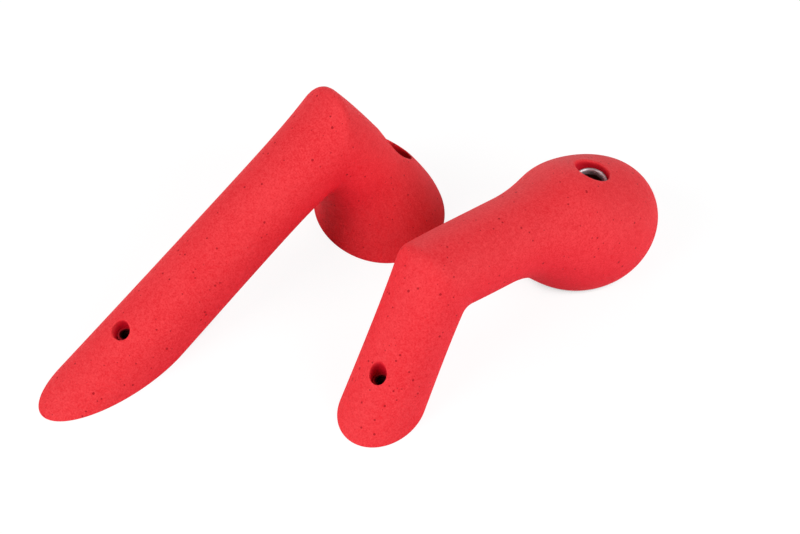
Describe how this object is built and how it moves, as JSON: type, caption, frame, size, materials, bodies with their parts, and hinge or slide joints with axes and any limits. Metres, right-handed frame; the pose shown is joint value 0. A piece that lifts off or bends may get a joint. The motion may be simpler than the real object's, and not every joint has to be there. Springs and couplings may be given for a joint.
{
  "type": "climbing hold set",
  "caption": "Cast climbing holds shaped like bent pipe ends: a round leg rises from the wall to a mitred elbow and an arm runs down into a bulb with a bolt recess.",
  "frame": {"origin": "centre of the set's bounding box in X and Y, at the plane of the flat backs, which is the climbing wall's surface", "axes": "+Z out of the wall, through the elbows' tops; +Y along both holds from their toes towards their bulbs; +X from the long hold towards the short one"},
  "size_m": [0.2116, 0.4044, 0.1135],
  "materials": {
    "cast_red": "matte cast polyurethane with a fine sandy grain",
    "insert_steel": "dull zinc-plated steel"
  },
  "bodies": {
    "root": {"long_hold_body": "cast_red", "long_hold_bolt_cup": "insert_steel", "long_hold_screw_washer": "insert_steel", "short_hold_body": "cast_red", "short_hold_bolt_cup": "insert_steel", "short_hold_screw_washer": "insert_steel"}
  },
  "joints": []
}
